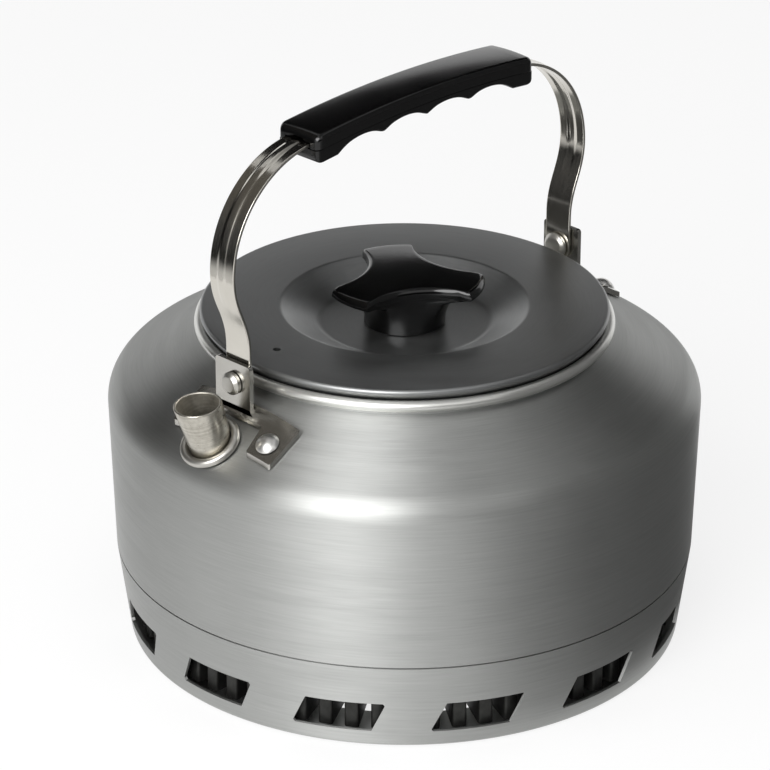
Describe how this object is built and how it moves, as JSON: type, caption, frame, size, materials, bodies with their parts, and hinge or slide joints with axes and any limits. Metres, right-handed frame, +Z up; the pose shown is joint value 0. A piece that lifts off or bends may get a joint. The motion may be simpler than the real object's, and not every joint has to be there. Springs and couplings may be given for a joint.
{
  "type": "camping kettle",
  "caption": "Camping kettle with a windowed heat-exchanger skirt, a short leaning spout, a lift-off lid with a lobed knob, and a swinging ribbed bail with a finger grip.",
  "frame": {"origin": "on the kettle's axis at table level, in the middle of the bounding box of its footprint", "axes": "+Z up along the vessel's axis; -Y is the side of the spout; the bail's hinge axis runs along Y, so X points to the sides it swings to"},
  "size_m": [0.1814, 0.1844, 0.1769],
  "materials": {
    "anodised_aluminium": "hard anodised, brushed round the axis",
    "anodised_lid": "dark hard anodised",
    "fin_aluminium": "brazed, darkened",
    "stainless_steel": "fine polish",
    "black_plastic": "moulded, glossy",
    "zinc_steel": "zinc plated"
  },
  "bodies": {
    "kettle": {"kettle_body": "anodised_aluminium", "skirt_ring": "anodised_aluminium", "heat_exchanger_fins": "fin_aluminium", "spout": "stainless_steel", "spout_collar": "stainless_steel", "bracket_front": "stainless_steel", "bracket_rear": "stainless_steel", "bracket_rivet_front_left": "zinc_steel", "bracket_rivet_front_right": "zinc_steel", "bracket_rivet_rear_left": "zinc_steel", "bracket_rivet_rear_right": "zinc_steel", "pivot_rivet_front": "stainless_steel", "pivot_rivet_rear": "stainless_steel"},
    "bail": {"bail_strip": "stainless_steel", "grip_cover": "black_plastic", "grip_base": "black_plastic", "grip_screw_front": "zinc_steel", "grip_screw_rear": "zinc_steel"},
    "lid_assembly": {"lid": "anodised_lid", "lid_knob": "black_plastic", "knob_screw": "zinc_steel", "knob_washer": "zinc_steel"}
  },
  "joints": [
    {"name": "bail_hinge", "type": "hinge", "parent": "kettle", "child": "bail", "pos_m": [0, 0, 0.1028], "axis": [0, 1, 0], "range_deg": [-87, 87]},
    {"name": "lid_lift", "type": "slide", "parent": "kettle", "child": "lid_assembly", "axis": [0, 0, 1], "range_m": [0, 0.04]}
  ]
}
